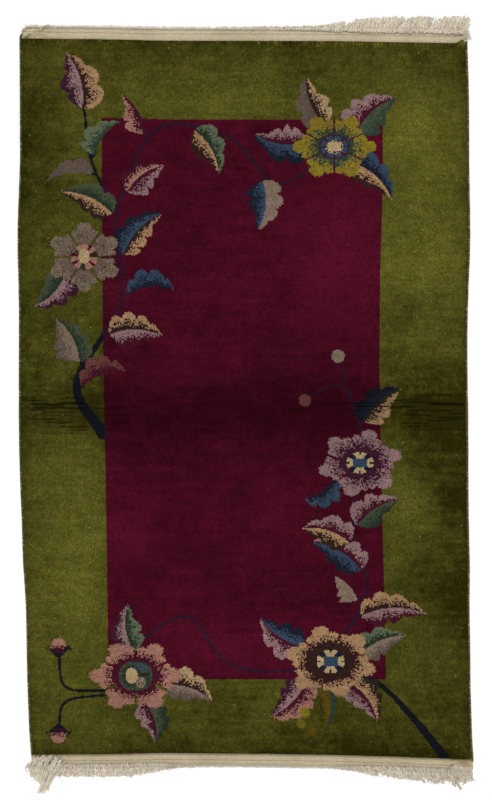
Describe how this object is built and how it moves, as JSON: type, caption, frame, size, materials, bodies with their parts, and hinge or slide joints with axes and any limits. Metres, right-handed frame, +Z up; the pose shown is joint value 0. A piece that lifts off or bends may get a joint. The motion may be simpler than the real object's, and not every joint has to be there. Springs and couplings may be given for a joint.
{
  "type": "chinese art deco rug",
  "caption": "Hand-knotted wool pile rug laid flat: plain field and border, trailing flower sprays, overcast sides, cotton end webs and fringes.",
  "frame": {"origin": "under the middle of the whole rug, on the surface it lies on", "axes": "+X across the rug, +Y along its length towards the head end, +Z up out of the pile"},
  "size_m": [1.2426, 2.1068, 0.0165],
  "materials": {
    "wool_pile": "dyed cut wool pile with a silky sheen: wine field, olive green border and many coloured flowers",
    "side_binding": "dark olive and brown wool, overcast round the edge warps",
    "end_web": "aged natural cotton, weft-faced weave",
    "fringe": "aged natural cotton cord, worn to fluff in places"
  },
  "bodies": {
    "root": {"pile_rug": "wool_pile", "side_binding_left": "side_binding", "side_binding_right": "side_binding", "end_web_head": "end_web", "end_web_foot": "end_web", "fringe_head": "fringe", "fringe_foot": "fringe"}
  },
  "joints": []
}
